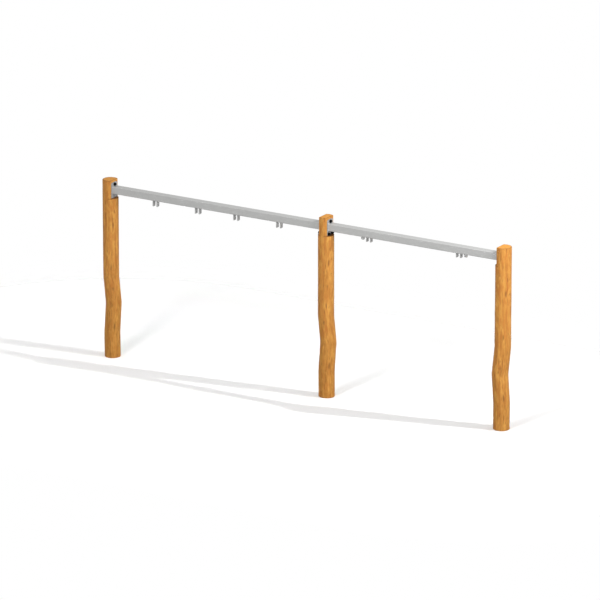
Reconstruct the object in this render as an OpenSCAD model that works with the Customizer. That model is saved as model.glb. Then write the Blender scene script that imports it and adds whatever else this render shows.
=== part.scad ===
// Swing frame for three round wooden posts and two square steel beams.
// X runs along the beams, Y across them, Z up. The origin lies on the ground
// below the middle of the whole frame. All lengths are in millimetres.

/* [Posts] */
// Height of the posts above the ground
post_h = 2490; // [2300:10:2700]
// Diameter of the posts
post_d = 215; // [205:5:240]
// How far the crooked lower half of a post leaves its axis
post_sway = 34; // [0:1:50]
// Heading of that crook, measured from the X axis
sway_heading = 12; // [0:1:45]
// Width of the worn bevel round the top and the foot of a post
post_bevel = 9; // [4:1:14]
// Sides of a post's outline
post_sides = 28; // [20:4:36]

/* [Bays] */
// Left bay, for two flat seats, from post axis to post axis
double_bay = 3370; // [3200:10:3600]
// Right bay, for one basket, from post axis to post axis
basket_bay = 2680; // [2500:10:2900]

/* [Beams] */
// Outer width and height of the square tube
beam_w = 100; // [90:5:110]
// Wall of the square tube
beam_wall = 5; // [4:0.5:8]
// Outer corner radius of the square tube
beam_corner = 9; // [8:1:14]
// Height of the beams' top face
beam_top = 2400; // [2395:1:2402]

/* [End plates] */
// Distance from a post's axis to the flat that a plate lies on
flat_depth = 54; // [50:1:64]
// Thickness of an end plate
plate_t = 8; // [7:1:12]
// Width of an end plate
plate_w = 140; // [138:2:156]
// Height of an end plate's lower edge
plate_low = 2240; // [2238:1:2241]
// Height of an end plate
plate_h = 215; // [212:1:222]
// Corner radius at the top of an end plate
plate_top_r = 28; // [12:1:32]
// Corner radius at the bottom of an end plate
plate_foot_r = 12; // [6:1:14]
// Gap between a plate's lower edge and the ledge cut in the post
ledge_gap = 5; // [1:1:8]

/* [Hangers] */
// Distance of the outer flat-seat hangers from the nearest post axis
seat_margin = 720; // [650:5:800]
// Distance between the two hangers of one flat seat
seat_pitch = 665; // [600:5:700]
// Distance of a basket hanger from the nearest post axis
basket_margin = 661; // [600:1:720]
// Drop of a flat-seat cheek below the beam
seat_drop = 85; // [75:1:95]
// Drop of a basket cheek below the beam
basket_drop = 65; // [60:1:75]
// Width of a cheek across the beam
cheek_w = 60; // [50:1:70]
// Thickness of a cheek
cheek_t = 10; // [8:1:12]
// Clear gap between the two cheeks of a hanger
cheek_gap = 50; // [40:1:56]
// Radius of a cheek's lower corners
cheek_r = 12; // [6:1:20]
// Radius of the pivot hole in a cheek
pivot_r = 8.5; // [6.5:0.5:9]
// Height of the pivot hole above a cheek's lower edge
pivot_up = 28; // [24:1:32]

/* [Safety eyes] */
// Distance from a basket hanger to its safety eye, towards the post
eye_offset = 98; // [90:1:120]
// Width and drop of a safety eye
eye_w = 50; // [44:1:56]
// Thickness of a safety eye
eye_t = 10; // [8:1:12]
// Radius of a safety eye's lower corners
eye_r = 18; // [10:1:20]
// Radius of the hole in a safety eye
eye_hole_r = 6.5; // [6:0.5:12]

/* [Fasteners] */
// Diameter of the coach screws and tie rods
bolt_d = 12; // [10:1:12]
// Clearance on the radius of every bolt hole
bolt_gap = 0.5; // [0.3:0.1:1]
// Length of a coach screw below its head
screw_len = 120; // [80:5:130]
// Width across the flats of the hexagon heads and nuts
hex_af = 19; // [17:1:19]
// Height of a coach screw's head
head_h = 8; // [6:0.5:8]
// Radius of a flush screw's countersunk head
flush_r = 12; // [11:0.5:12.5]
// Height of a nut
nut_h = 10; // [8:0.5:10]
// Radius of a steel washer
washer_r = 14; // [12:0.5:14]
// Thickness of a steel washer
washer_t = 2.5; // [2:0.5:3]
// Height of the upper bolt
bolt_high = 2427; // [2426:1:2430]
// Height of the two lower bolts
bolt_low = 2262; // [2261:1:2266]
// Distance of a lower bolt from the middle of the plate
bolt_out = 46; // [44:1:48]

/* [Bolt caps] */
// Radius of a bolt cap
cap_r = 21.5; // [20:0.5:22]
// Height of a bolt cap
cap_h = 30; // [26:0.5:32]
// Thickness of a cap's base ring
cap_base_t = 4; // [3:0.5:4]
// Wall of a cap's lid
cap_wall = 2.5; // [2:0.5:3]

/* [Hidden] */
$fn = 48;
total = double_bay + basket_bay;
left_x = -total / 2;
middle_x = left_x + double_bay;
right_x = total / 2;
face_x = flat_depth + plate_t;
beam_low = beam_top - beam_w;
ledge_z = plate_low - ledge_gap;
rings = 20;
past = 1;

// Share of the post's height, from the foot up, against share of the sway
crook = [[0, 0.3], [0.14, 0.25], [0.305, 1], [0.45, 0], [1, 0]];

// Bolts of one plate as [distance across the beam, height]
top_bolt = [0, bolt_high];
low_bolts = [[-bolt_out, bolt_low], [bolt_out, bolt_low]];
bolts = [top_bolt, each low_bolts];

// Plates as [post axis, side of the post that carries the plate]
end_plates = [[left_x, 1], [right_x, -1]];
middle_plates = [[middle_x, -1], [middle_x, 1]];

// Hangers as [middle of the hanger along the beam, drop of its cheeks]
hangers = [
    [left_x + seat_margin, seat_drop],
    [left_x + seat_margin + seat_pitch, seat_drop],
    [middle_x - seat_margin - seat_pitch, seat_drop],
    [middle_x - seat_margin, seat_drop],
    [middle_x + basket_margin, basket_drop],
    [right_x - basket_margin, basket_drop]
];
sides = [["a", -1], ["b", 1]];

wood = [0.80, 0.56, 0.29];
steel = [0.68, 0.68, 0.68];
zinc = [0.60, 0.60, 0.62];
black = [0.07, 0.07, 0.07];

function sway_at(z) = post_sway * lookup(z / post_h, crook);

// Height and radius of each ring of a post, from the foot up
function post_levels() = [
    [0, post_d / 2 - post_bevel],
    [post_bevel, post_d / 2],
    for (k = [1:rings - 1]) [post_h * k / rings, post_d / 2],
    [post_h - post_bevel, post_d / 2],
    [post_h, post_d / 2 - post_bevel]
];

function post_ring(level) = [
    for (i = [0:post_sides - 1])
        let (turn = 360 * i / post_sides, sway = sway_at(level[0]))
            [sway * cos(sway_heading) + level[1] * cos(turn),
             sway * sin(sway_heading) + level[1] * sin(turn),
             level[0]]
];

// A quarter of an ellipse, from the rim to the crown
function dome(radius, low, high) = [
    for (a = [0:15:90]) [radius * cos(a), low + (high - low) * sin(a)]
];

// The crooked round log, before its flats are cut
module log() {
    levels = post_levels();
    last = len(levels) - 1;
    n = post_sides;
    points = [for (level = levels) each post_ring(level)];
    walls = [
        for (k = [0:last - 1], i = [0:n - 1])
            [k * n + i, (k + 1) * n + i, (k + 1) * n + (i + 1) % n, k * n + (i + 1) % n]
    ];
    foot = [[for (i = [0:n - 1]) i]];
    crown = [[for (i = [n - 1:-1:0]) last * n + i]];
    polyhedron(points, concat(foot, walls, crown), convexity = 4);
}

// A rod along X between two distances, at one bolt's place
module along_x(from, to, radius, bolt) {
    translate([from, bolt[0], bolt[1]])
        rotate([0, 90, 0])
            cylinder(r = radius, h = to - from);
}

// Flat and ledge on the side that the plate lies on
module flat_cut(side) {
    reach = post_d;
    translate([side > 0 ? flat_depth : -flat_depth - reach, -reach, ledge_z])
        cube([reach, 2 * reach, post_h]);
}

// An end post, its flat on the +X side
module end_post() {
    difference() {
        log();
        flat_cut(1);
        for (bolt = bolts)
            along_x(face_x - screw_len - past, face_x, bolt_d / 2 + bolt_gap, bolt);
    }
}

module post_left() {
    color(wood)
        translate([left_x, 0, 0])
            end_post();
}

module post_right() {
    color(wood)
        translate([right_x, 0, 0])
            rotate([0, 0, 180])
                end_post();
}

module post_middle() {
    color(wood)
        translate([middle_x, 0, 0])
            difference() {
                log();
                flat_cut(1);
                flat_cut(-1);
                for (bolt = bolts)
                    along_x(-face_x, face_x, bolt_d / 2 + bolt_gap, bolt);
            }
}

module rounded_square(width, radius) {
    straight = width - 2 * radius;
    square([straight, width], center = true);
    square([width, straight], center = true);
    for (x = [-1, 1], y = [-1, 1])
        translate([x, y] * straight / 2)
            circle(r = radius);
}

// Square tube from one plate to the next
module beam(from, to) {
    color(steel)
        translate([from, 0, beam_top - beam_w / 2])
            rotate([90, 0, 90])
                linear_extrude(height = to - from)
                    difference() {
                        rounded_square(beam_w, beam_corner);
                        rounded_square(beam_w - 2 * beam_wall, beam_corner - beam_wall);
                    }
}

module beam_double() {
    beam(left_x + face_x, middle_x - face_x);
}

module beam_basket() {
    beam(middle_x + face_x, right_x - face_x);
}

// Outline of a plate: its lower and upper corners have their own radii
module plate_outline(width, low, high, low_r, high_r) {
    for (part = [[low, low_r, 0], [high, high_r, 1]])
        for (x = [-1, 1])
            translate([x * (width / 2 - part[1]), part[0] + (part[2] > 0 ? -1 : 1) * part[1]])
                circle(r = part[1]);
    translate([-width / 2, low + low_r])
        square([width, high - low - low_r - high_r]);
    translate([-width / 2 + low_r, low])
        square([width - 2 * low_r, low_r]);
    translate([-width / 2 + high_r, high - high_r])
        square([width - 2 * high_r, high_r]);
}

// Cone whose wide end lies in a plate's outer face, down to the given radius
module flush_cone(foot_r) {
    depth = flush_r - foot_r;
    translate([0, 0, -depth])
        cylinder(h = depth, r1 = foot_r, r2 = flush_r);
}

// Plate on the flat of the post at the given axis; flush ones have two countersunk holes
module end_plate(axis, side, flush) {
    color(steel)
        difference() {
            translate([axis + (side > 0 ? flat_depth : -face_x), 0, 0])
                rotate([90, 0, 90])
                    linear_extrude(height = plate_t)
                        plate_outline(plate_w, plate_low, plate_low + plate_h,
                                      plate_foot_r, plate_top_r);
            for (bolt = bolts)
                along_x(axis - 2 * face_x, axis + 2 * face_x, bolt_d / 2 + bolt_gap, bolt);
            if (flush)
                for (bolt = low_bolts)
                    on_plate([axis, side], bolt)
                        flush_cone(bolt_d / 2 + bolt_gap);
        }
}

module plate_left() {
    end_plate(left_x, 1, true);
}

module plate_middle_left() {
    end_plate(middle_x, -1, false);
}

module plate_middle_right() {
    end_plate(middle_x, 1, false);
}

module plate_right() {
    end_plate(right_x, -1, true);
}

// Tongue with a square top and two rounded lower corners, drawn downwards from zero
module tongue(width, drop, radius) {
    translate([-width / 2, radius - drop])
        square([width, drop - radius]);
    translate([radius - width / 2, -drop])
        square([width - 2 * radius, radius]);
    for (x = [-1, 1])
        translate([x * (width / 2 - radius), radius - drop])
            circle(r = radius);
}

// One cheek of a hanger, welded under the beam and square to it
module hanger_cheek(hanger, side) {
    drop = hanger[1];
    middle = hanger[0] + side * (cheek_gap + cheek_t) / 2;
    color(steel)
        translate([middle - cheek_t / 2, 0, beam_low])
            rotate([90, 0, 90])
                difference() {
                    linear_extrude(height = cheek_t)
                        tongue(cheek_w, drop, cheek_r);
                    translate([0, pivot_up - drop, -past])
                        cylinder(r = pivot_r, h = cheek_t + 2 * past);
                }
}

// Eye plate for a safety chain, welded under the beam and in line with it
module safety_eye(middle) {
    color(steel)
        translate([middle, eye_t / 2, beam_low])
            rotate([90, 0, 0])
                difference() {
                    linear_extrude(height = eye_t)
                        tongue(eye_w, eye_w, eye_r);
                    translate([0, -eye_w / 2, -past])
                        cylinder(r = eye_hole_r, h = eye_t + 2 * past);
                }
}

module safety_eye_left() {
    safety_eye(middle_x + basket_margin - eye_offset);
}

module safety_eye_right() {
    safety_eye(right_x - basket_margin + eye_offset);
}

// Puts what is drawn along +Z on a plate's outer face, at one bolt's place
module on_plate(plate, bolt) {
    translate([plate[0] + plate[1] * face_x, bolt[0], bolt[1]])
        rotate([0, plate[1] * 90, 0])
            children();
}

// Washer on the base ring of a cap
module washer() {
    translate([0, 0, cap_base_t])
        difference() {
            cylinder(r = washer_r, h = washer_t);
            translate([0, 0, -past])
                cylinder(r = bolt_d / 2 + bolt_gap, h = washer_t + 2 * past);
        }
}

module hexagon(height) {
    cylinder(d = hex_af / cos(30), h = height, $fn = 6);
}

// The shaft of a coach screw, its upper end at the given height
module screw_shaft(top_z) {
    translate([0, 0, top_z - screw_len])
        cylinder(d = bolt_d, h = screw_len);
}

// The upper screw of an outer post has a hexagon below its cap, the lower two lie flush
module coach_screws() {
    head_z = cap_base_t + washer_t;
    color(zinc)
        for (plate = end_plates) {
            on_plate(plate, top_bolt) {
                translate([0, 0, head_z])
                    hexagon(head_h);
                screw_shaft(head_z);
            }
            for (bolt = low_bolts)
                on_plate(plate, bolt) {
                    flush_cone(bolt_d / 2);
                    screw_shaft(0);
                }
        }
}

module screw_washers() {
    color(zinc)
        for (plate = end_plates)
            on_plate(plate, top_bolt)
                washer();
}

// Threaded rods through the middle post hold both of its plates
module tie_rods() {
    reach = face_x + cap_base_t + washer_t + nut_h + past;
    color(zinc)
        for (bolt = bolts)
            translate([middle_x, 0, 0])
                along_x(-reach, reach, bolt_d / 2, bolt);
}

module tie_nuts() {
    color(zinc)
        for (plate = middle_plates, bolt = bolts)
            on_plate(plate, bolt)
                translate([0, 0, cap_base_t + washer_t])
                    difference() {
                        hexagon(nut_h);
                        translate([0, 0, -past])
                            cylinder(d = bolt_d, h = nut_h + 2 * past);
                    }
}

module tie_washers() {
    color(zinc)
        for (plate = middle_plates, bolt = bolts)
            on_plate(plate, bolt)
                washer();
}

// Runs its children at every bolt that carries a cap
module at_caps() {
    for (plate = end_plates)
        on_plate(plate, top_bolt)
            children();
    for (plate = middle_plates, bolt = bolts)
        on_plate(plate, bolt)
            children();
}

module cap_bases() {
    color(black)
        at_caps()
            difference() {
                cylinder(r = cap_r, h = cap_base_t);
                translate([0, 0, -past])
                    cylinder(r = bolt_d / 2 + bolt_gap, h = cap_base_t + 2 * past);
            }
}

// Domed lid that snaps onto the base ring and hides the hexagon
module cap_lids() {
    color(black)
        at_caps()
            rotate_extrude()
                difference() {
                    polygon(concat([[0, cap_base_t], [cap_r, cap_base_t]],
                                   dome(cap_r, cap_h / 2, cap_h)));
                    polygon(concat([[0, cap_base_t - past], [cap_r - cap_wall, cap_base_t - past]],
                                   dome(cap_r - cap_wall, cap_h / 2 + past, cap_h - cap_wall)));
                }
}

post_left();
post_middle();
post_right();
beam_double();
beam_basket();
plate_left();
plate_middle_left();
plate_middle_right();
plate_right();
for (i = [0:len(hangers) - 1], s = sides)
    hanger_cheek(hangers[i], s[1]);
safety_eye_left();
safety_eye_right();
coach_screws();
screw_washers();
tie_rods();
tie_nuts();
tie_washers();
cap_bases();
cap_lids();
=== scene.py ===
import math

import bmesh
import bpy
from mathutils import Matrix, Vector, noise


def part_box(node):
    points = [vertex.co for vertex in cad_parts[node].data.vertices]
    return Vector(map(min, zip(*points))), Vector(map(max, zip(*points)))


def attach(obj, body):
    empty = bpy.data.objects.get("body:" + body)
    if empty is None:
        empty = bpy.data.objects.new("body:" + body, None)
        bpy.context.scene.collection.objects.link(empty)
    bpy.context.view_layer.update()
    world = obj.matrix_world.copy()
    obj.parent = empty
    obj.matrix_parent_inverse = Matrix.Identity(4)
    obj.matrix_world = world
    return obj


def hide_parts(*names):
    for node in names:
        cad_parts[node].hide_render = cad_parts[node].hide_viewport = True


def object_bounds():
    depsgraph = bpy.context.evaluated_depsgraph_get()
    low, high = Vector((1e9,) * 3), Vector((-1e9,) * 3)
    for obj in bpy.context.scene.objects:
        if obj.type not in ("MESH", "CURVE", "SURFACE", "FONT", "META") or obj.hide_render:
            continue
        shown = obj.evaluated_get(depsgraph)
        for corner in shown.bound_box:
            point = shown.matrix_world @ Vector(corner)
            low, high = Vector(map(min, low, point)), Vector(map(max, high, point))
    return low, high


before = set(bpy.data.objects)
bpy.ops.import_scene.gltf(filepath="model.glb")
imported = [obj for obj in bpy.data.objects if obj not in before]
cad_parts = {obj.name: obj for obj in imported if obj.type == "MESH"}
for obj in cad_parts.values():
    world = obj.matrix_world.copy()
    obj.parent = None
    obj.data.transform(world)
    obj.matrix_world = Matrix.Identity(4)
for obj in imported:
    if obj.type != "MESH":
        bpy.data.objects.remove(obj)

scene = bpy.context.scene
cadLow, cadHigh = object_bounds()  # every piece below keeps to this box
print("frame loaded:", len(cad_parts), "nodes")


look = {
    "azimuth": 31.155,  # degrees round from straight ahead
    "elevation": 17.254,
    "distance": 86.85,  # a long lens from far away, so the bays hardly converge
    "lens": 393.9,
    "sensor": 36,
    "clip": (1, 500),
    "aimRight": -0.0485,  # the middle of the box sits a little off centre
    "aimUp": 0.0285,
}


def placeCamera():
    turn, tilt = math.radians(look["azimuth"]), math.radians(look["elevation"])
    right = Vector((math.cos(turn), math.sin(turn), 0))
    back = Vector((math.sin(turn) * math.cos(tilt), -math.cos(turn) * math.cos(tilt),
                   math.sin(tilt)))
    aim = (cadLow + cadHigh) / 2 + right * look["aimRight"] + back.cross(right) * look["aimUp"]
    data = bpy.data.cameras.new("camera")
    data.lens, data.sensor_width = look["lens"], look["sensor"]
    data.clip_start, data.clip_end = look["clip"]
    camera = bpy.data.objects.new("camera", data)
    camera.location = aim + back * look["distance"]
    camera.rotation_mode = "QUATERNION"
    camera.rotation_quaternion = (-back).to_track_quat("-Z", "Y")
    scene.collection.objects.link(camera)
    scene.camera = camera


placeCamera()
print("camera placed")


def put(tree, kind, sockets=None, **setup):
    # adds one node; a socket given as a value is set, one given as a socket is linked
    made = tree.nodes.new(kind)
    for key, value in setup.items():
        setattr(made, key, value)
    for key, value in (sockets or {}).items():
        if isinstance(value, bpy.types.NodeSocket):
            tree.links.new(value, made.inputs[key])
        else:
            made.inputs[key].default_value = value
    return made


def sums(tree, how, a, b=0.0, clamp=False):
    return put(tree, "ShaderNodeMath", {0: a, 1: b}, operation=how, use_clamp=clamp).outputs[0]


def blend(tree, share, a, b, how="MIX"):
    made = put(tree, "ShaderNodeMix", {0: share, 6: a, 7: b}, data_type="RGBA", blend_type=how)
    return made.outputs[2]


def spread(tree, value, low, high, outLow=0.0, outHigh=1.0):
    made = put(tree, "ShaderNodeMapRange", {0: value, 1: low, 2: high, 3: outLow, 4: outHigh})
    return made.outputs[0]


def sway(tree, value, low, high, reach):
    return spread(tree, value, low, high, -reach, reach)


def grain(tree, where, stretch, size=1.0, detail=3.0, rough=0.5, shift=(0, 0, 0)):
    # noise stretched along each axis; stretch holds cells per metre
    moved = put(tree, "ShaderNodeMapping", {"Vector": where, "Scale": stretch, "Location": shift})
    made = put(tree, "ShaderNodeTexNoise",
               {"Vector": moved.outputs[0], "Scale": size, "Detail": detail, "Roughness": rough})
    return made.outputs["Fac"]


def rgba(tone):
    return (*tone, 1.0)


def blank(name):
    made = bpy.data.materials.new(name)
    made.use_nodes = True
    tree = made.node_tree
    return made, tree, tree.nodes["Principled BSDF"]


def roughen(tree, shader, height, finish):
    bump = put(tree, "ShaderNodeBump", {"Height": height, "Strength": finish["bump"],
                                        "Distance": finish["bumpHeight"]})
    tree.links.new(bump.outputs[0], shader.inputs["Normal"])


# the oiled hardwood: colours first, then how strongly each thing shows
glaze = {
    "pale": (0.730, 0.343, 0.070),
    "deep": (0.485, 0.190, 0.036),
    "straw": (0.770, 0.400, 0.086),
    "rust": (0.540, 0.173, 0.033),
    "shadeStreak": (0.265, 0.104, 0.026),
    "knotHeart": (0.120, 0.050, 0.018),
    "checkDark": (0.090, 0.040, 0.016),
    "rim": (0.330, 0.135, 0.028),
    "endPale": (0.740, 0.345, 0.062),
    "endRing": (0.570, 0.240, 0.044),
    "rimDepth": 0.014,
    "rimShare": 0.8,
    "scarAndCutShadeShare": 0.85,
    "knotShare": 0.6,
    "ringsPerMetre": 115.0,
    "ringBend": 1.6,
    "roughness": 0.55,
    "endDuller": 0.12,
    "specular": 0.22,
    "coat": 0.03,
    "coatRoughness": 0.30,
    "fibreRelief": 0.6,
    "streakRelief": 0.9,
    "ringRelief": 0.5,
    "bump": 0.55,
    "bumpHeight": 0.0016,
}

# noises drawn out along the log: cells per metre, detail, roughness and how its shift is turned
glazeGrain = {
    "patches": ((9, 9, 2.2), 2, 0.5, 0),
    "blotches": ((30, 30, 9), 3, 0.6, 2),
    "streaks": ((42, 42, 3.4), 4, 0.6, 0),
    "fibres": ((420, 420, 11), 3, 0.65, 0),
    "flecks": ((70, 70, 11), 2, 0.5, 1),
}

# what lies over the pale ground, in turn: noise, its range, the share at either end, colour
glazeLayers = (
    ("streaks", 0.36, 0.64, 0, 1, "deep"),
    ("blotches", 0.50, 0.70, 0, 0.75, "straw"),
    ("blotches", 0.48, 0.30, 0, 0.65, "rust"),
    ("patches", 0.45, 0.68, 0, 0.45, "deep"),
    ("flecks", 0.58, 0.72, 0, 0.60, "shadeStreak"),
    ("fibres", 0.30, 0.70, 0.12, -0.02, "shadeStreak"),
)


def makeGlaze(name, shift, topZ):
    made, tree, shader = blank(name)
    inLog = put(tree, "ShaderNodeAttribute", attribute_name="logSpace").outputs["Vector"]
    marks = {key: put(tree, "ShaderNodeAttribute", attribute_name=key).outputs["Fac"]
             for key in ("knot", "check", "endGrain", "scarAndCutShade")}
    cells = {key: grain(tree, inLog, stretch, detail=detail, rough=rough,
                        shift=shift[turned:] + shift[:turned])
             for key, (stretch, detail, rough, turned) in glazeGrain.items()}
    side = rgba(glaze["pale"])
    for key, start, end, least, most, tone in glazeLayers:
        side = blend(tree, spread(tree, cells[key], start, end, least, most), side,
                     rgba(glaze[tone]))
    # the oil gathers darker on the worn edge round the top
    height = put(tree, "ShaderNodeSeparateXYZ", {0: inLog}).outputs[2]
    rim = spread(tree, height, topZ - glaze["rimDepth"], topZ - glaze["rimDepth"] / 2,
                 0, glaze["rimShare"])
    side = blend(tree, rim, side, rgba(glaze["rim"]))
    # growth rings on the sawn ends
    rings = put(tree, "ShaderNodeTexWave",
                {"Vector": inLog, "Scale": glaze["ringsPerMetre"] / math.tau,
                 "Distortion": glaze["ringBend"], "Detail": 2.0, "Detail Scale": 1.5,
                 "Phase Offset": shift[0]},
                wave_type="RINGS", rings_direction="Z", wave_profile="SAW").outputs["Fac"]
    ends = blend(tree, spread(tree, rings, 0.25, 0.95), rgba(glaze["endPale"]),
                 rgba(glaze["endRing"]))
    ends = blend(tree, spread(tree, cells["blotches"], 0.45, 0.7, 0, 0.35), ends,
                 rgba(glaze["deep"]))
    colour = blend(tree, marks["endGrain"], side, ends)
    # tool marks darken the wood; along the ledge cut the same mark is painted shade, the shadow of
    # the notch step, partly dark sawn wood
    colour = blend(tree, sums(tree, "MULTIPLY", marks["scarAndCutShade"], glaze["scarAndCutShadeShare"]), colour,
                   rgba(glaze["shadeStreak"]))
    colour = blend(tree, sums(tree, "MULTIPLY", marks["knot"], glaze["knotShare"]), colour,
                   rgba(glaze["knotHeart"]))
    colour = blend(tree, marks["check"], colour, rgba(glaze["checkDark"]))
    tree.links.new(colour, shader.inputs["Base Color"])
    # duller over open fibres and on the sawn ends
    dull = sums(tree, "ADD", glaze["roughness"],
                spread(tree, cells["fibres"], 0.3, 0.7, -0.05, 0.12))
    dull = sums(tree, "ADD", dull, sums(tree, "MULTIPLY", marks["endGrain"], glaze["endDuller"]))
    tree.links.new(dull, shader.inputs["Roughness"])
    relief = sums(tree, "ADD", sums(tree, "MULTIPLY", cells["fibres"], glaze["fibreRelief"]),
                  sums(tree, "MULTIPLY", cells["streaks"], glaze["streakRelief"]))
    ringRelief = sums(tree, "MULTIPLY", sums(tree, "MULTIPLY", rings, marks["endGrain"]),
                      glaze["ringRelief"])
    relief = sums(tree, "ADD", relief, ringRelief)
    roughen(tree, shader, relief, glaze)
    shader.inputs["Specular IOR Level"].default_value = glaze["specular"]
    shader.inputs["Coat Weight"].default_value = glaze["coat"]
    shader.inputs["Coat Roughness"].default_value = glaze["coatRoughness"]
    return made


# hot-dip zinc: cells per metre, how far each pattern moves the tone, and its relief
zinc = {
    "warpCells": 60.0,
    "warp": 0.012,  # how far the edges of the crystals wander
    "smaller": 2.7,  # the second set of crystals is this much finer
    "mottleCells": (5, 14, 14),
    "runCells": (1.2, 70, 70),
    "pitCells": (900, 900, 900),
    "crystalTone": 0.055,
    "smallTone": 0.03,
    "mottleTone": 0.05,
    "runTone": 0.02,
    "toneShine": 0.7,  # a lighter place is smoother
    "pitRelief": 0.25,
    "crystalRelief": 0.2,
    "bump": 0.25,
    "bumpHeight": 0.0004,
}


def makeSteel(name, steel):
    made, tree, shader = blank(name)
    here = put(tree, "ShaderNodeTexCoord").outputs["Object"]
    # zinc crystals in two sizes, then a slow mottling and faint runs of the zinc bath
    bend = put(tree, "ShaderNodeTexNoise",
               {"Vector": here, "Scale": zinc["warpCells"], "Detail": 2.0}).outputs["Color"]
    warped = blend(tree, zinc["warp"], here, bend, "ADD")
    crystals = put(tree, "ShaderNodeTexVoronoi", {"Vector": warped, "Scale": steel["crystals"]})
    crystals = put(tree, "ShaderNodeSeparateColor", {0: crystals.outputs["Color"]}).outputs[0]
    small = put(tree, "ShaderNodeTexVoronoi",
                {"Vector": warped, "Scale": steel["crystals"] * zinc["smaller"]})
    small = put(tree, "ShaderNodeSeparateColor", {0: small.outputs["Color"]}).outputs[1]
    mottle = grain(tree, here, zinc["mottleCells"], detail=4, rough=0.6)
    runs = grain(tree, here, zinc["runCells"], detail=2)
    tone = sway(tree, crystals, 0, 1, zinc["crystalTone"])
    for value, start, end, reach in ((small, 0, 1, zinc["smallTone"]),
                                     (mottle, 0.3, 0.7, zinc["mottleTone"]),
                                     (runs, 0.3, 0.7, zinc["runTone"])):
        tone = sums(tree, "ADD", tone, sway(tree, value, start, end, reach))
    share = sums(tree, "ADD", tone, 0.5, clamp=True)
    colour = blend(tree, share, rgba(steel["dark"]), rgba(steel["light"]))
    tree.links.new(colour, shader.inputs["Base Color"])
    shader.inputs["Metallic"].default_value = steel["metallic"]
    dull = sums(tree, "SUBTRACT", steel["roughness"],
                sums(tree, "MULTIPLY", tone, zinc["toneShine"]))
    tree.links.new(dull, shader.inputs["Roughness"])
    pits = grain(tree, here, zinc["pitCells"], detail=2)
    height = sums(tree, "ADD", sums(tree, "MULTIPLY", pits, zinc["pitRelief"]),
                  sums(tree, "MULTIPLY", crystals, zinc["crystalRelief"]))
    roughen(tree, shader, height, zinc)
    return made


def makeCapPlastic(name, plastic):
    made, tree, shader = blank(name)
    here = put(tree, "ShaderNodeTexCoord").outputs["Object"]
    cloud = grain(tree, here, plastic["cloudCells"], detail=3)
    stipple = grain(tree, here, plastic["stippleCells"], detail=1)
    dust = grain(tree, here, plastic["dustCells"], detail=4, rough=0.7)
    colour = blend(tree, spread(tree, cloud, 0.3, 0.7), rgba(plastic["dark"]),
                   rgba(plastic["light"]))
    colour = blend(tree, spread(tree, dust, 0.62, 0.8, 0, plastic["dustShare"]), colour,
                   rgba(plastic["dust"]))
    tree.links.new(colour, shader.inputs["Base Color"])
    dull = spread(tree, dust, 0.3, 0.7, plastic["roughness"] - 0.05, plastic["roughness"] + 0.12)
    tree.links.new(dull, shader.inputs["Roughness"])
    roughen(tree, shader, stipple, plastic)
    shader.inputs["Specular IOR Level"].default_value = plastic["specular"]
    return made


beamZinc = {"dark": (0.430, 0.432, 0.426), "light": (0.690, 0.692, 0.682),
            "metallic": 0.42, "roughness": 0.50, "crystals": 95}
plateZinc = {**beamZinc, "dark": (0.32, 0.325, 0.33), "light": (0.54, 0.545, 0.55),
             "crystals": 110}
cheekZinc = {**beamZinc, "dark": (0.44, 0.442, 0.438), "light": (0.73, 0.732, 0.725),
             "crystals": 130}
beadZinc = {**beamZinc, "dark": (0.34, 0.345, 0.35), "light": (0.58, 0.585, 0.59),
            "crystals": 120}
screwZinc = {**beamZinc, "dark": (0.42, 0.43, 0.43), "light": (0.72, 0.72, 0.70),
             "metallic": 0.85, "roughness": 0.34, "crystals": 300}
capBlack = {"dark": (0.0015, 0.0015, 0.0018), "light": (0.004, 0.004, 0.0045),
            "dust": (0.014, 0.0135, 0.0125), "dustShare": 0.25, "roughness": 0.50,
            "specular": 0.08, "cloudCells": (40, 40, 40), "dustCells": (160, 160, 160),
            "stippleCells": (1500, 1500, 1500), "bump": 0.12, "bumpHeight": 0.0002}

beamFinish = makeSteel("galvanisedTube", beamZinc)
plateFinish = makeSteel("galvanisedPlate", plateZinc)
cheekFinish = makeSteel("galvanisedCheek", cheekZinc)
beadFinish = makeSteel("galvanisedBead", beadZinc)
screwFinish = makeSteel("zincFastener", screwZinc)
capFinish = makeCapPlastic("blackCap", capBlack)
print("finishes mixed")


# edges flatter than these angles look smooth
smoothUnder = {"log": 38, "plate": 24, "weld": 60, "screw": 24, "washer": 30, "cap": 28}


def finishPiece(made, finish, node, kind):
    made.data.materials.clear()
    made.data.materials.append(finish)
    made.data.shade_smooth()
    made.data.set_sharp_from_angle(angle=math.radians(smoothUnder[kind]))
    scene.collection.objects.link(made)
    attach(made, "root")
    if node:
        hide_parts(node)


log = {
    "radius": 0.1075,
    "swell": 0.0006,
    "taper": 0.0012,
    "columns": 132,
    "ringStep": 0.0085,
    "flatDepth": 0.054,  # from the axis to the flat that takes an end plate
    "ledge": 2.235,
    "ledgeStep": 0.0004,  # the rings that make the ledge lie this far below and above it
    "sway": 0.034,
    "heading": 12.0,
    "crook": ((0, 0.30), (0.14, 0.25), (0.305, 1.0), (0.45, 0.0), (1, 0.0)),
    "kneeRound": 0.022,  # share of the height over which a knee is rounded
    "kneeSteps": 8,
    "topBevel": 0.009,
    "footBevel": 0.006,
    "crown": 0.003,
    "flutes": 0.0016,
    "fluteCells": (3.2, 1.1),  # round the log and along it
    "facets": 0.0016,
    "facetCells": (7.5, 2.6),
    "waves": 0.0014,
    "waveCells": (1.1, 3.4),
    "crackWidth": 0.0011,
    "crackEnds": 0.12,  # metres over which a check runs out
    "crackWander": 0.016,
    "scarDepth": 0.0016,
    "sawMarks": 0.0002,
    "sawOverrun": 17.0,  # degrees that the saw ran past each corner of a flat at the ledge
    "footRings": (0.25, 0.5, 0.75, 0.92),
    "topRings": (0.985, 0.93, 0.85, 0.75, 0.64, 0.52, 0.40, 0.28, 0.17, 0.08),
}

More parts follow.
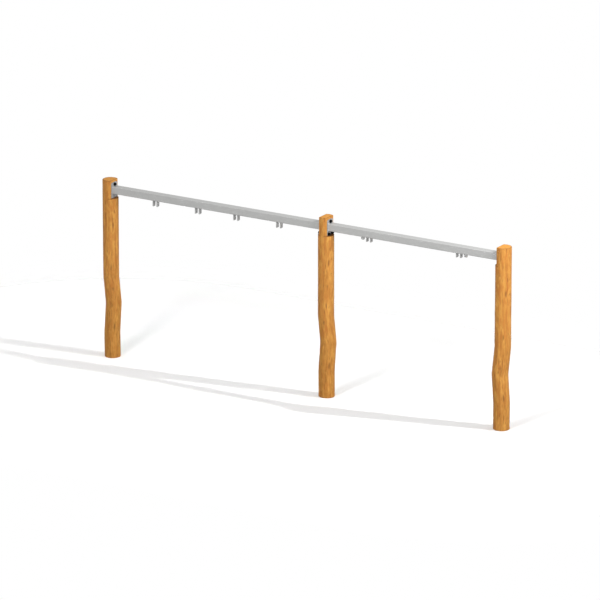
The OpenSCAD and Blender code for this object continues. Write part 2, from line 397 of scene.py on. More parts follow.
# the form of a knot, in shares of its radius: a dome with a dimple, a ringed heart and a collar
knotForm = {
    "reach": 4,
    "squash": 0.72,  # along the log
    "dome": 1.5,
    "dimple": 0.60,
    "dimpleShare": 0.95,
    "heart": 0.62,
    "ringPace": 16,
    "ringShare": 0.38,
    "collar": 0.85,
    "collarWide": 0.22,
    "collarShare": 0.35,
    "swirl": 0.55,  # how far the fibres bend round it
    "swirlSquash": 0.55,
    "swirlWide": 2.1,
}

# each knot: turn in degrees, height, radius, rise
knots = {
    "post_left": ((-52, 0.98, 0.020, 0.0034), (64, 1.62, 0.016, 0.0028),
                  (168, 0.52, 0.022, 0.0036), (-120, 1.84, 0.014, 0.0024),
                  (12, 1.30, 0.013, 0.0020), (110, 0.83, 0.018, 0.0030)),
    "post_middle": ((-78, 1.05, 0.021, 0.0034), (35, 0.72, 0.016, 0.0028),
                    (142, 1.48, 0.020, 0.0034), (-150, 0.44, 0.015, 0.0026),
                    (-20, 1.72, 0.013, 0.0022), (88, 1.95, 0.016, 0.0028)),
    "post_right": ((-66, 0.86, 0.019, 0.0032), (20, 1.24, 0.016, 0.0026),
                   (130, 0.66, 0.022, 0.0036), (-160, 1.58, 0.015, 0.0026),
                   (-8, 1.86, 0.013, 0.0022), (74, 1.42, 0.018, 0.0030)),
}

# each drying check: turn in degrees, lower end, upper end, depth; one that ends above the post
# runs over its top
checks = {
    "post_left": ((-98, 1.86, 2.60, 0.007), (-14, 0.35, 0.93, 0.005), (96, 0.9, 1.7, 0.007),
                  (205, 0.2, 0.72, 0.006), (118, 2.30, 2.60, 0.005), (232, 2.38, 2.60, 0.004),
                  (-60, 2.43, 2.60, 0.004)),
    "post_middle": ((-105, 1.74, 2.60, 0.007), (-30, 0.62, 1.22, 0.005), (80, 1.2, 2.05, 0.007),
                    (196, 0.5, 1.3, 0.006), (98, 2.24, 2.60, 0.005), (-72, 2.41, 2.60, 0.004)),
    "post_right": ((-96, 1.95, 2.60, 0.006), (-22, 0.20, 0.68, 0.005), (102, 1.0, 1.82, 0.007),
                   (158, 0.3, 0.95, 0.006), (72, 2.28, 2.60, 0.005), (-40, 2.42, 2.60, 0.004),
                   (14, 2.36, 2.60, 0.004)),
}

# each old tool mark: turn in degrees, height, half width, half height
scars = ((-41, 1.87, 0.012, 0.045), (-44, 0.45, 0.012, 0.050), (-58, 1.28, 0.008, 0.038),
         (-30, 2.06, 0.007, 0.03), (100, 1.40, 0.011, 0.05), (170, 2.00, 0.010, 0.04),
         (215, 1.02, 0.010, 0.05), (50, 0.36, 0.010, 0.045))


def crookAt(share):
    # the knees are rounded by averaging the broken line over a short stretch
    def broken(s):
        s = min(max(s, 0), 1)
        for (h0, c0), (h1, c1) in zip(log["crook"], log["crook"][1:]):
            if s <= h1:
                return c0 + (c1 - c0) * (s - h0) / (h1 - h0)
        return log["crook"][-1][1]
    steps, width = log["kneeSteps"], log["kneeRound"]
    return sum(broken(share + width * (k / steps - 0.5)) for k in range(steps + 1)) / (steps + 1)


def easing(t):
    t = min(max(t, 0), 1)
    return t * t * (3 - 2 * t)


def bell(distance, width, power=2):
    return math.exp(-(distance / width) ** power)


def carveLog(name, node, flats, way, seed):
    low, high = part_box(node)
    radius, columns, ledge, flatDepth = (log[key] for key in
                                         ("radius", "columns", "ledge", "flatDepth"))
    topZ = high.z
    axisX = low.x + radius if way > 0 else high.x - radius
    swayX = log["sway"] * math.cos(math.radians(log["heading"])) * way
    swayY = log["sway"] * math.sin(math.radians(log["heading"])) * way
    gap = 2 * math.pi / columns
    knotSet = [(math.radians(t), z, size, rise) for t, z, size, rise in knots[node]]
    scarSet = [(math.radians(t), z, w, h) for t, z, w, h in scars]
    checkSet = [(round(math.radians(t) % (2 * math.pi) / gap) % columns, a, b, deep)
                for t, a, b, deep in checks[node]]
    flatTurns = [0 if side > 0 else math.pi for side in flats]

    def turnBetween(a, b):
        return (a - b + math.pi) % (2 * math.pi) - math.pi

    def checkShare(z, a, b):
        ends = min(log["crackEnds"], (b - a) / 2)
        return easing((z - a) / ends) * easing((b - z) / ends)

    def barkNoise(around, z, cells, shift):
        return noise.noise(around * cells[0] + Vector((0, 0, z * cells[1])) + shift)

    def surface(turn, z):
        # radius, knot share and tool mark share at a place on the bark side
        around = Vector((math.cos(turn), math.sin(turn), 0))
        flute = barkNoise(around, z, log["fluteCells"], Vector((seed, 0, 0)))
        facet = abs(barkNoise(around, z, log["facetCells"], Vector((0, seed, 0))))
        wave = barkNoise(around, z, log["waveCells"], Vector((0, 0, seed)))
        r = radius + log["swell"] + log["flutes"] * flute + log["waves"] * wave
        r += log["taper"] * (0.5 - z / topZ) - log["facets"] * facet
        knot = scarAndCutShade = 0.0
        form = knotForm
        for kt, kz, size, rise in knotSet:
            d = math.hypot(turnBetween(turn, kt) * radius, (z - kz) * form["squash"])
            if d < size * form["reach"]:
                dimple = form["dimpleShare"] * bell(d, form["dimple"] * size)
                r += rise * (bell(d, form["dome"] * size) - dimple)
                ringed = 1 - form["ringShare"] * (0.5 - 0.5 * math.cos(d / size * form["ringPace"]))
                collar = bell(d - form["collar"] * size, form["collarWide"] * size)
                knot = max(knot, bell(d, form["heart"] * size, 4) * ringed,
                           form["collarShare"] * collar)
        for st, sz, w, h in scarSet:
            d = math.hypot(turnBetween(turn, st) * radius / w, (z - sz) / h)
            if d < 2:
                scarAndCutShade = max(scarAndCutShade, bell(d, 1, 4))
                r -= log["scarDepth"] * bell(d, 1, 3)
        return r, knot, scarAndCutShade

    def swirlAt(turn, z):
        # how far the fibres step aside for the knots
        swirl = 0.0
        for kt, kz, size, rise in knotSet:
            d = math.hypot(turnBetween(turn, kt) * radius, (z - kz) * knotForm["swirlSquash"])
            if d < size * knotForm["reach"]:
                swirl -= (knotForm["swirl"] * turnBetween(turn, kt)
                          * bell(d, knotForm["swirlWide"] * size))
        return swirl

    # rings as (height, inset), close together at the foot, at the ledge and round the top
    foot, bevel, ledgeStep = log["footBevel"], log["topBevel"], log["ledgeStep"]
    edgeZ = topZ - log["crown"]
    shoulder = edgeZ - bevel
    heights = [(foot - foot * math.cos(math.radians(a)), foot * (1 - math.sin(math.radians(a))))
               for a in (0, 30, 60)]
    for start, end in ((foot, ledge - ledgeStep), (ledge + ledgeStep, shoulder)):
        count = int((end - start) / log["ringStep"])
        heights += [(start + (end - start) * k / count, 0) for k in range(count + 1)]
    heights += [(shoulder + bevel * math.sin(math.radians(a)),
                 bevel * (1 - math.cos(math.radians(a)))) for a in (15, 30, 45, 60, 75, 90)]

    points, inLog, facts = [], [], []  # facts: knot, check, endGrain, and tool marks with painted shade along the ledge cut

    def crackedTurns(z):
        # the columns' turns, with the neighbours of each open check drawn up to it
        turns = [k * gap for k in range(columns)]
        crack, depth = [0.0] * columns, [0.0] * columns
        for k, a, b, deep in checkSet:
            share = checkShare(z, a, b)
            if share <= 0:
                continue
            wander = log["crackWander"] * noise.noise(Vector((k * 3.1, seed, z * 5)))
            wide = log["crackWidth"] / radius * (0.35 + 0.65 * share)
            turns[k] = k * gap + wander * share
            for side in (-1, 1):
                turns[(k + side) % columns] = turns[k] + side * (wide * share + gap * (1 - share))
            crack[k], depth[k] = share, deep * share
        return turns, crack, depth

    def ringAt(z, inset, shrink=1.0, onEnd=0.0, lift=0.0):
        # shrink and onEnd are for the rings of the sawn ends
        bend = crookAt(z / topZ)
        cx, cy = axisX + swayX * bend, swayY * bend
        turns, crack, depth = crackedTurns(z)
        spots = [[turn, *surface(turn, z)] for turn in turns]
        if z > ledge:  # the nearest column moves onto each corner of a flat
            for mid in flatTurns:
                for edge in (-1, 1):
                    corner = mid + edge * math.acos(flatDepth / radius)
                    k = round((corner % (2 * math.pi)) / gap) % columns
                    spots[k][1] = surface(corner, z)[0]
                    spots[k][0] = mid + edge * math.acos(flatDepth / spots[k][1])
        row = []
        sawn = math.acos(flatDepth / radius) + math.radians(log["sawOverrun"])
        for k, (turn, r, knot, scarAndCutShade) in enumerate(spots):
            # a point on the saw cut at the ledge takes the dark mark in full: painted shadow of the
            # notch step, partly dark sawn wood
            onCutShade = abs(z - ledge) < 0.001 and any(
                abs(turnBetween(turn, mid)) < sawn for mid in flatTurns)
            grow = r - inset - depth[k] * (1 - onEnd)
            x, y = grow * math.cos(turn), grow * math.sin(turn)
            flatHere = 0.0
            if z > ledge:
                limit = flatDepth - inset * 0.5
                for side in flats:
                    if x * side > limit:
                        x, flatHere = limit * side, 1.0
            x, y = x * shrink, y * shrink
            sink = depth[k] * onEnd * min(1, shrink * 1.4) * (0.9 if shrink > 0.12 else 0)
            row.append(len(points))
            points.append((cx + x, cy + y, z + lift - sink))
            plain, reach = turn + swirlAt(turn, z), math.hypot(x, y)
            inLog.append((reach * math.cos(plain), reach * math.sin(plain), z))
            bark = (1 - flatHere) * (1 - onEnd)
            facts.append((knot * bark, crack[k] * (1 - 0.6 * flatHere),
                          onEnd if shrink < 0.95 else 0, 1.0 if onCutShade else scarAndCutShade * bark))
        return row

    rows = [ringAt(0.0, foot, shrink, 1.0) for shrink in log["footRings"]]
    rows += [ringAt(z, inset) for z, inset in heights]
    for shrink in log["topRings"]:
        saw = log["sawMarks"] * noise.noise(Vector((shrink * 40, seed, 0)))
        rows.append(ringAt(edgeZ, bevel, shrink, 1.0, log["crown"] * (1 - shrink ** 2) + saw))
    faces = []
    for lower, upper in zip(rows, rows[1:]):
        for k in range(columns):
            j = (k + 1) % columns
            faces.append((lower[k], lower[j], upper[j], upper[k]))
    for row, z, lift, facesDown in ((rows[0], 0.0, 0.0, True),
                                    (rows[-1], edgeZ, log["crown"], False)):
        bend = crookAt(z / topZ)
        middle = len(points)
        points.append((axisX + swayX * bend, swayY * bend, z + lift))
        inLog.append((0, 0, z))
        facts.append((0, 0, 1, 0))
        for k in range(columns):
            j = (k + 1) % columns
            faces.append((row[j], row[k], middle) if facesDown else (row[k], row[j], middle))

    mesh = bpy.data.meshes.new(name)
    mesh.from_pydata(points, [], faces)
    where = mesh.attributes.new("logSpace", "FLOAT_VECTOR", "POINT")
    where.data.foreach_set("vector", [c for p in inLog for c in p])
    for column, key in enumerate(("knot", "check", "endGrain", "scarAndCutShade")):
        layer = mesh.attributes.new(key, "FLOAT", "POINT")
        layer.data.foreach_set("value", [f[column] for f in facts])
    mesh.update()
    finish = makeGlaze(name + "Glaze", (seed, seed * 1.7, seed * 0.6), topZ)
    finishPiece(bpy.data.objects.new(name, mesh), finish, node, "log")


carveLog("logLeft", "post_left", (1,), 1, 3.1)
carveLog("logMiddle", "post_middle", (-1, 1), 1, 7.4)
carveLog("logRight", "post_right", (-1,), -1, 12.9)
print("logs carved")


# the plates, cheeks and eyes are the CAD shape with its edges broken
edgeBreak = {"plate": 0.0011, "cheek": 0.0009, "eye": 0.0009, "segments": 2, "profile": 0.6,
             "sharper": 30.0, "merge": 1e-6, "flatter": 0.5}


def breakEdges(name, node, width, finish):
    made = bpy.data.objects.new(name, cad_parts[node].data.copy())
    shape = bmesh.new()
    shape.from_mesh(made.data)
    bmesh.ops.remove_doubles(shape, verts=shape.verts, dist=edgeBreak["merge"])
    bmesh.ops.dissolve_limit(shape, angle_limit=math.radians(edgeBreak["flatter"]),
                             verts=shape.verts, edges=shape.edges)
    sharp = math.radians(edgeBreak["sharper"])
    hard = [e for e in shape.edges if len(e.link_faces) == 2 and e.calc_face_angle() > sharp]
    bmesh.ops.bevel(shape, geom=hard, offset=width, segments=edgeBreak["segments"],
                    profile=edgeBreak["profile"], affect="EDGES", clamp_overlap=True)
    shape.to_mesh(made.data)
    shape.free()
    finishPiece(made, finish, node, "plate")


plateNodes = {"plateLeft": "plate_left", "plateMiddleLeft": "plate_middle_left",
              "plateMiddleRight": "plate_middle_right", "plateRight": "plate_right"}
for name, node in plateNodes.items():
    breakEdges(name, node, edgeBreak["plate"], plateFinish)
for number in range(1, 7):
    for side in "ab":
        breakEdges(f"hanger{number}Cheek{side.upper()}", f"hanger_{number}_cheek_{side}",
                   edgeBreak["cheek"], cheekFinish)
for side in ("left", "right"):
    breakEdges("safetyEye" + side.capitalize(), "safety_eye_" + side, edgeBreak["eye"],
               cheekFinish)
print("plates, cheeks and eyes finished")


# weld beads, laid along their seams by geometry nodes
weld = {
    "plateBead": 0.0036,
    "cheekBead": 0.0028,
    "tubeCorner": 0.009,
    "cheekCorner": 0.001,
    "ripple": 0.0024,
    "rippleDepth": 0.08,
    "rippleGain": 3.0,
    "rippleLean": 0.35,
    "ripplePower": 1.6,
    "unsteady": 0.35,
    "unsteadyCells": 130.0,
    "step": 0.0007,
    "sides": 8,
    "cornerSteps": 5,
    "seed": 4.0,
}


def bentLoop(centre, across, up, halfA, halfB, corner):
    # a closed outline with round corners, in the plane of across and up
    spots = []
    for sa, sb, start in ((1, 1, 0), (-1, 1, 90), (-1, -1, 180), (1, -1, 270)):
        for k in range(weld["cornerSteps"] + 1):
            a = math.radians(start + 90 * k / weld["cornerSteps"])
            spots.append(centre + across * (sa * (halfA - corner) + corner * math.cos(a))
                         + up * (sb * (halfB - corner) + corner * math.sin(a)))
    return spots


def treeFace(name, inputs):
    # a new tree with these named inputs and one geometry output, and what its inputs give
    tree = bpy.data.node_groups.new(name, "GeometryNodeTree")
    for key, kind in inputs.items():
        tree.interface.new_socket(key, in_out="INPUT", socket_type="NodeSocket" + kind)
    tree.interface.new_socket("Result", in_out="OUTPUT", socket_type="NodeSocketGeometry")
    return tree, tree.nodes.new("NodeGroupInput").outputs


def treeEnd(tree, made, finish):
    # every tree ends with real meshes that wear their finish
    real = put(tree, "GeometryNodeRealizeInstances", {"Geometry": made})
    dressed = put(tree, "GeometryNodeSetMaterial",
                  {"Geometry": real.outputs[0], "Material": finish})
    tree.links.new(dressed.outputs[0], tree.nodes.new("NodeGroupOutput").inputs[0])


def beadTree():
    tree, given = treeFace("weldBead", {
        "Seams": "Geometry", "Bead Radius": "Float", "Ripple Pitch": "Float",
        "Ripple Depth": "Float", "Step": "Float", "Seed": "Float", "Finish": "Material"})
    line = put(tree, "GeometryNodeMeshToCurve", {"Mesh": given["Seams"]})
    line = put(tree, "GeometryNodeResampleCurve",
               {"Curve": line.outputs[0], "Length": given["Step"]}, mode="LENGTH")
    along = put(tree, "GeometryNodeSplineParameter").outputs["Length"]
    ripple = sums(tree, "FRACT", sums(tree, "DIVIDE", along, given["Ripple Pitch"]))
    ripple = sums(tree, "ABSOLUTE", sums(tree, "SUBTRACT", ripple, weld["rippleLean"]))
    ripple = sums(tree, "POWER", ripple, weld["ripplePower"])
    place = put(tree, "GeometryNodeInputPosition").outputs[0]
    unsteady = put(tree, "ShaderNodeTexNoise",
                   {"Vector": place, "W": given["Seed"], "Scale": weld["unsteadyCells"],
                    "Detail": 1.0}, noise_dimensions="4D").outputs[0]
    deep = sums(tree, "MULTIPLY", given["Ripple Depth"], weld["rippleGain"])
    wide = sums(tree, "SUBTRACT", 1.0, sums(tree, "MULTIPLY", ripple, deep))
    drift = sums(tree, "MULTIPLY", sums(tree, "SUBTRACT", unsteady, 0.5), weld["unsteady"])
    wide = sums(tree, "ADD", wide, drift)
    ring = put(tree, "GeometryNodeCurvePrimitiveCircle",
               {"Resolution": weld["sides"], "Radius": given["Bead Radius"]})
    tube = put(tree, "GeometryNodeCurveToMesh",
               {"Curve": line.outputs[0], "Profile Curve": ring.outputs[0], "Scale": wide,
                "Fill Caps": True})
    soft = put(tree, "GeometryNodeSetShadeSmooth", {"Geometry": tube.outputs[0]})
    treeEnd(tree, soft.outputs[0], given["Finish"])
    return tree


def runTree(name, mesh, tree, values):
    # sets the tree's inputs by identifier, bakes the result and drops the modifier
    holder = bpy.data.objects.new(name + "Holder", mesh)
    scene.collection.objects.link(holder)
    live = holder.modifiers.new("build", "NODES")
    live.node_group = tree
    ids = {item.name: item.identifier for item in tree.interface.items_tree
           if item.in_out == "INPUT"}
    for key, value in values.items():
        live[ids[key]] = value
    bpy.context.view_layer.update()
    baked = holder.evaluated_get(bpy.context.evaluated_depsgraph_get())
    settled = bpy.data.meshes.new_from_object(baked)
    holder.modifiers.clear()
    bpy.data.objects.remove(holder)
    settled.name = name
    return bpy.data.objects.new(name, settled)


def seamMesh(name, loops):
    mesh = bpy.data.meshes.new(name)
    spots, edges = [], []
    for loop in loops:
        first = len(spots)
        spots += loop
        edges += [(first + k, first + (k + 1) % len(loop)) for k in range(len(loop))]
    mesh.from_pydata(spots, edges, [])
    return mesh


axisX, axisY, axisZ = Vector((1, 0, 0)), Vector((0, 1, 0)), Vector((0, 0, 1))


def middleAndHalf(node):
    low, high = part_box(node)
    return (low + high) / 2, (high - low) / 2


beads = beadTree()
plateLoops, cheekLoops = [], []
for node in ("beam_double", "beam_basket"):
    middle, half = middleAndHalf(node)
    for x in (middle.x - half.x, middle.x + half.x):
        plateLoops.append(bentLoop(Vector((x, middle.y, middle.z)), axisY, axisZ,
                                   half.y, half.z, weld["tubeCorner"]))
for node in [n for n in sorted(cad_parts) if "cheek" in n or "safety_eye" in n]:
    middle, half = middleAndHalf(node)
    cheekLoops.append(bentLoop(Vector((middle.x, middle.y, middle.z + half.z)), axisX, axisY,
                               half.x, half.y, weld["cheekCorner"]))
for name, loops, bead, slotName in (
        ("plateWelds", plateLoops, weld["plateBead"], "plate_steel"),
        ("hangerWelds", cheekLoops, weld["cheekBead"], "hanger_steel")):
    made = runTree(name, seamMesh(name + "Seams", loops), beads,
                   {"Bead Radius": bead, "Ripple Pitch": weld["ripple"],
                    "Ripple Depth": weld["rippleDepth"], "Step": weld["step"],
                    "Seed": weld["seed"], "Finish": beadFinish})
    finishPiece(made, beadFinish, None, "weld")
print("welds laid")


# screws, washers and caps, set out by geometry nodes
hexHead = {
    "across": 0.019,
    "height": 0.008,
    "seat": 0.9,  # the bearing face, as a share of the width across flats
    "edge": 0.0003,
    "chamfer": 0.985,  # the round chamfer starts at this share of it and falls by the slope
    "slope": 0.58,
    "crown": ((0, 0.965), (0.0002, 0.55), (0.0003, 0.18)),  # drop and share, inwards
    "sides": 48,
}
woodThread = {"shaft": 0.006, "length": 0.120, "from": 0.035, "pitch": 0.0048, "depth": 0.0009,
              "steps": 8, "point": 0.012, "pointStep": 0.003, "pointTaper": 4.4}
flushHead = {"radius": 0.0118, "socket": 0.008, "deep": 0.0045, "edge": 0.0002}
washer = {"outer": 0.014, "inner": 0.0065, "thick": 0.0025, "edge": 0.0004, "sides": 48}
cap = {
    "radius": 0.0215,
    "height": 0.030,
    "base": 0.004,
    "skirt": 0.009,
    "foot": ((-0.0028, 0), (-0.0004, 0), (0, 0.0005), (0, 0.0018)),  # outwards and up
    "lip": 0.0008,  # the skirt stands back this far behind its foot
    "lipTop": 0.0024,
    "wall": 0.0028,
    "roof": 0.0026,
    "domeSteps": 12,
    "domeForm": 0.82,  # under 1 the dome is fuller than an ellipse
    "sides": 56,
}
setting = {"seed": 11, "spin": math.pi / 3}
onAxis = 1e-7  # a smaller radius closes on the axis


def spunMesh(name, outline, sides):
    # turns a closed outline of (radius, height) round Z
    spots, faces, rows = [], [], []
    for r, z in outline:
        if r < onAxis:
            rows.append([len(spots)] * sides)
            spots.append((0, 0, z))
        else:
            rows.append(list(range(len(spots), len(spots) + sides)))
            spots += [(r * math.cos(2 * math.pi * k / sides),
                       r * math.sin(2 * math.pi * k / sides), z) for k in range(sides)]
    loops = list(zip(rows, rows[1:]))
    if outline[0][0] > onAxis or outline[-1][0] > onAxis:
        loops.append((rows[-1], rows[0]))
    for lower, upper in loops:
        for k in range(sides):
            j = (k + 1) % sides
            ring = [lower[k], lower[j], upper[j], upper[k]]
            ring = [v for n, v in enumerate(ring) if v not in ring[:n]]
            if len(ring) > 2:
                faces.append(ring)
    mesh = bpy.data.meshes.new(name)
    mesh.from_pydata(spots, [], faces)
    shape = bmesh.new()
    shape.from_mesh(mesh)
    bmesh.ops.recalc_face_normals(shape, faces=shape.faces)
    shape.to_mesh(mesh)
    shape.free()
    return mesh


def screwMesh(flush):
    # a hexagon head with the usual round chamfer, or a flush head with a hexagon socket,
    # then a plain neck and a coarse wood thread
    sides, top, edge = hexHead["sides"], hexHead["height"], hexHead["edge"]
    flat = hexHead["across"] / 2
    shaft, pitch, threadFrom = woodThread["shaft"], woodThread["pitch"], woodThread["from"]
    spots, rows = [], []

    def row(z, reach):
        # reach is a radius, or gives the radius and a lift for each angle
        rows.append(list(range(len(spots), len(spots) + sides)))
        for k in range(sides):
            a = 2 * math.pi * k / sides
            r, lift = reach(a) if callable(reach) else (reach, 0)
            spots.append((r * math.cos(a), r * math.sin(a), z + lift))

    def hexagon(half, grow=0.0, share=1.0):
        return lambda a: (half / math.cos((a + math.pi / 6) % (math.pi / 3) - math.pi / 6)
                          * share + grow, 0)

    def chamfered(a):
        r = hexagon(flat)(a)[0]
        return r, -max(0, (r - flat * hexHead["chamfer"]) * hexHead["slope"])

    def threaded(level):
        return lambda a: (shaft - woodThread["depth"] * (0.5 - 0.5 * math.cos(
            2 * math.pi * level / pitch + a)), 0)

    def skin(upperRows, lowerRows):
        return [(lower[k], lower[(k + 1) % sides], upper[(k + 1) % sides], upper[k])
                for upper, lower in zip(upperRows, lowerRows) for k in range(sides)]

    if flush:
        wide, half, deep, edge = (flushHead["radius"], flushHead["socket"] / 2,
                                  flushHead["deep"], flushHead["edge"])
        row(-edge * 2, wide - edge)
        row(-edge, wide)
        row(0, wide - edge * 1.5)
        row(0, hexagon(half, edge * 1.5))
        row(-edge * 1.5, hexagon(half))
        row(-deep, hexagon(half))
        row(-deep - edge * 3, half * 0.3)
    else:
        row(0, flat * hexHead["seat"])
        row(0, hexagon(flat, share=hexHead["chamfer"]))
        row(edge, hexagon(flat))
        row(top, chamfered)
        for drop, share in hexHead["crown"]:
            row(top - drop, flat * share)
    faces = skin(rows[1:], rows)
    faces.append(tuple(rows[-1]))
    # the shaft runs down from the first row of the head
    del rows[1:]
    levels = [flushHead["radius"] - shaft if flush else 0, threadFrom]
    while levels[-1] + pitch / woodThread["steps"] < woodThread["length"] - woodThread["point"]:
        levels.append(levels[-1] + pitch / woodThread["steps"])
    for level in levels:
        row(-level, shaft - 0.0001 if level <= threadFrom else threaded(level))
    for k in range(1, 5):
        row(-levels[-1] - woodThread["pointStep"] * k, shaft * (1 - k / woodThread["pointTaper"]))
    faces += skin(rows, rows[1:])
    faces.append(tuple(reversed(rows[-1])))
    mesh = bpy.data.meshes.new("flushShape" if flush else "screwShape")
    mesh.from_pydata(spots, [], faces)
    return mesh


def washerMesh():
    outer, inner, thick, edge = (washer[key] for key in ("outer", "inner", "thick", "edge"))
    outline = [(inner, edge), (inner + edge, 0), (outer - edge * 2, 0), (outer, edge * 1.5),
               (outer, thick - edge), (outer - edge, thick), (inner + edge * 1.4, thick),
               (inner, thick - edge)]
    return spunMesh("washerShape", outline, washer["sides"])


def lidMesh():
    # a low skirt, then a dome with a small flat crown; hollow from below
    r, base, top, steps = (cap[key] for key in ("radius", "base", "height", "domeSteps"))
    domeFoot = base + cap["skirt"]

    def dome(inset, drop, k):
        a = math.radians(90 * k / steps)
        return ((r - inset) * math.cos(a) ** cap["domeForm"],
                domeFoot + (top - drop - domeFoot) * math.sin(a))

    outline = [(r + out, base + up) for out, up in cap["foot"]]
    outline += [(r - cap["lip"], base + cap["lipTop"]), (r - cap["lip"], domeFoot)]
    outline += [dome(cap["lip"], 0, k) for k in range(1, steps)] + [(0, top)]
    inside = [dome(cap["wall"], cap["roof"], k) for k in range(steps - 1, 0, -1)]
    return spunMesh("lidShape", outline + [(0, top - cap["roof"])] + inside, cap["sides"])


def setOutTree():
    tree, given = treeFace("setOut", {"Places": "Geometry", "Shape": "Object", "Seed": "Int",
                                      "Spin": "Float", "Finish": "Material"})
    facing = put(tree, "GeometryNodeInputNamedAttribute", {"Name": "facing"},
                 data_type="FLOAT_VECTOR")
    aimed = put(tree, "FunctionNodeAlignRotationToVector", {"Vector": facing.outputs[0]}, axis="Z")
    chance = put(tree, "FunctionNodeRandomValue", {"Seed": given["Seed"]}, data_type="FLOAT")
    twist = put(tree, "FunctionNodeAxisAngleToRotation",
                {0: (0, 0, 1), 1: sums(tree, "MULTIPLY", chance.outputs[1], given["Spin"])})
    turned = put(tree, "FunctionNodeRotateRotation",
                 {0: aimed.outputs[0], 1: twist.outputs[0]}, rotation_space="LOCAL")
    shape = put(tree, "GeometryNodeObjectInfo", {"Object": given["Shape"]})
    laid = put(tree, "GeometryNodeInstanceOnPoints",
               {"Points": given["Places"], "Instance": shape.outputs["Geometry"],
                "Rotation": turned.outputs[0]})
    treeEnd(tree, laid.outputs[0], given["Finish"])
    return tree


def setOut(name, shapeMesh, places, spin, finish, node, kind):
    shape = bpy.data.objects.new(name + "Shape", shapeMesh)
    scene.collection.objects.link(shape)
    mesh = bpy.data.meshes.new(name + "Places")
    mesh.from_pydata([spot for spot, way in places], [], [])
    facing = mesh.attributes.new("facing", "FLOAT_VECTOR", "POINT")
    facing.data.foreach_set("vector", [c for spot, way in places for c in way])
    made = runTree(name, mesh, setOutTree(),
                   {"Shape": shape, "Seed": setting["seed"], "Spin": spin, "Finish": finish})
    bpy.data.objects.remove(shape)
    finishPiece(made, finish, node, kind)


# which way along X each plate looks, and its bolts' distances from its upper and lower edge and
# from its middle
plateFaces = {"plate_left": 1, "plate_middle_left": -1, "plate_middle_right": 1, "plate_right": -1}
boltRows = {"upper": 0.028, "lower": 0.022, "out": 0.046}


def boltPlaces(node):
    low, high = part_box(node)
    x = high.x if plateFaces[node] > 0 else low.x
    upper = Vector((x, 0, high.z - boltRows["upper"]))
    lower = [Vector((x, side * boltRows["out"], low.z + boltRows["lower"])) for side in (-1, 1)]
    return upper, lower


screwSpots, flushSpots, washerSpots, lidSpots = [], [], [], []
for node, way in plateFaces.items():
    upper, lower = boltPlaces(node)
    facing = axisX * way
    lidSpots.append((upper, facing))
    if "middle" in node:
        lidSpots += [(spot, facing) for spot in lower]
    else:
        seat = upper + facing * cap["base"]
        washerSpots.append((seat, facing))
        screwSpots.append((seat + facing * washer["thick"], facing))
        flushSpots += [(spot, facing) for spot in lower]
setOut("coachScrews", screwMesh(False), screwSpots, setting["spin"], screwFinish,
       "coach_screws", "screw")
setOut("flushScrews", screwMesh(True), flushSpots, setting["spin"], plateFinish,
       "coach_screws", "screw")
setOut("screwWashers", washerMesh(), washerSpots, 0, screwFinish,
       "screw_washers", "washer")
setOut("capLids", lidMesh(), lidSpots, 0, capFinish, "cap_lids", "cap")
print("fasteners and caps set out")


# these CAD nodes stay as they are and only get a finish
kept = {"beam_double": beamFinish, "beam_basket": beamFinish, "tie_rods": screwFinish,
        "tie_nuts": screwFinish, "tie_washers": screwFinish, "cap_bases": capFinish}
for node, finish in kept.items():
    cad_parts[node].data.materials.clear()
    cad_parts[node].data.materials.append(finish)
print("kept nodes finished")


# the white room
studio = {
    "floorSeen": 0.96,  # how bright the camera sees the floor: just burnt out to white
    "floorBounce": 0.27,  # what the frame gets back from it
    "floorSpan": 3.0,  # half the length of the row of posts
    "floorClear": 1.0,  # the floor is solid this far from that row, and gone at floorGone
    "floorGone": 4.5,
    "floorPaintedLift": 1.025,  # painted light: the floor is brighter by this factor at leanFrom, and not at all at leanTo
    "leanFrom": -4.5,
    "leanTo": 2.5,
    "worldLight": 0.62,
    "lampAim": (0, 0, 1.2),
}

# a floor lamp lights the floor alone and draws the shadows, the others light all but the
# floor; an even lamp doesn't fade with distance
lamps = {
    "floorKey": {"place": (9.1, 1.42, 7.85), "power": 20.0, "size": 0.04,
                 "even": True, "floor": True},
    "floorFill": {"place": (-0.5, -16.0, 14.0), "power": 1750, "size": 3.4,
                  "even": False, "floor": True},
    "frameKey": {"place": (8.8, -1.8, 8.0), "power": 820, "size": 3.5,
                 "even": False, "floor": False},
    "frameFill": {"place": (2.5, -9.0, 9.0), "power": 430, "size": 5.0,
                  "even": False, "floor": False},
}


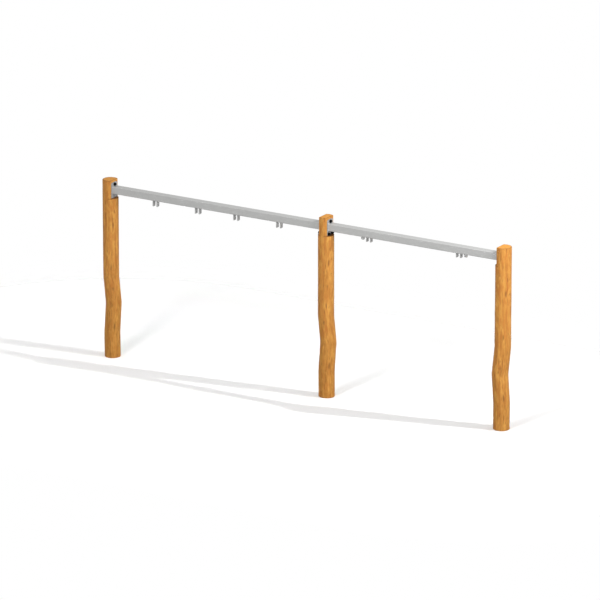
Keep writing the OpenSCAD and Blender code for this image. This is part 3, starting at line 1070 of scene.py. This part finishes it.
def makeFloor():
    mesh = bpy.data.meshes.new("floor")
    reach = studio["floorSpan"] + studio["floorGone"]
    corners = [(-reach, -reach, 0), (reach, -reach, 0), (reach, reach, 0), (-reach, reach, 0)]
    mesh.from_pydata(corners, [], [(0, 1, 2, 3)])
    floor = bpy.data.objects.new("floor", mesh)
    made, tree, shader = blank("paleFloor")
    here = put(tree, "ShaderNodeTexCoord").outputs["Object"]
    apart = put(tree, "ShaderNodeSeparateXYZ", {0: here}).outputs
    beyond = sums(tree, "SUBTRACT", sums(tree, "ABSOLUTE", apart[0]), studio["floorSpan"])
    beyond = sums(tree, "MAXIMUM", beyond, 0.0)
    away = put(tree, "ShaderNodeCombineXYZ", {0: beyond, 1: apart[1]}).outputs[0]
    away = put(tree, "ShaderNodeVectorMath", {0: away}, operation="LENGTH").outputs["Value"]
    seen = put(tree, "ShaderNodeLightPath").outputs["Is Camera Ray"]
    # painted light: the floor's tone is lifted towards its left end
    paintedLift = spread(tree, apart[0], studio["leanFrom"], studio["leanTo"], studio["floorPaintedLift"], 1.0)
    tone = spread(tree, seen, 0, 1, studio["floorBounce"], studio["floorSeen"])
    tone = sums(tree, "MULTIPLY", paintedLift, tone)
    tone = put(tree, "ShaderNodeCombineColor", {0: tone, 1: tone, 2: tone}).outputs[0]
    matt = put(tree, "ShaderNodeBsdfDiffuse", {"Color": tone})
    clear = put(tree, "ShaderNodeBsdfTransparent")
    fade = spread(tree, away, studio["floorClear"], studio["floorGone"])
    joined = put(tree, "ShaderNodeMixShader", {0: fade, 1: matt.outputs[0], 2: clear.outputs[0]})
    tree.nodes.remove(shader)
    tree.links.new(joined.outputs[0], tree.nodes["Material Output"].inputs["Surface"])
    mesh.materials.append(made)
    scene.collection.objects.link(floor)
    return floor


def makeLights(floor):
    world = bpy.data.worlds.new("whiteRoom")
    scene.world = world
    world.use_nodes = True
    tree = world.node_tree
    seen = put(tree, "ShaderNodeLightPath").outputs["Is Camera Ray"]
    strength = spread(tree, seen, 0, 1, studio["worldLight"], 1.0)
    tree.nodes["Background"].inputs["Color"].default_value = (1, 1, 1, 1)
    tree.links.new(strength, tree.nodes["Background"].inputs["Strength"])
    for name, lamp in lamps.items():
        light = bpy.data.lights.new(name, "POINT" if lamp["even"] else "AREA")
        light.energy = lamp["power"]
        if lamp["even"]:
            light.shadow_soft_size = lamp["size"]
            light.use_nodes = True
            tree = light.node_tree
            steady = put(tree, "ShaderNodeLightFalloff", {"Strength": 1.0}).outputs["Constant"]
            tree.links.new(steady, tree.nodes["Emission"].inputs["Strength"])
        else:
            light.size = lamp["size"]
        made = bpy.data.objects.new(name, light)
        made.location = lamp["place"]
        made.rotation_mode = "QUATERNION"
        aim = Vector(studio["lampAim"]) - made.location
        made.rotation_quaternion = aim.to_track_quat("-Z", "Y")
        scene.collection.objects.link(made)
        lit = bpy.data.collections.new(name + "Lit")
        lit.objects.link(floor)
        link = lit.collection_objects[0].light_linking
        link.link_state = "INCLUDE" if lamp["floor"] else "EXCLUDE"
        made.light_linking.receiver_collection = lit
    scene.view_settings.view_transform = "Standard"
    scene.view_settings.look = "None"


makeLights(makeFloor())
print("studio lit")
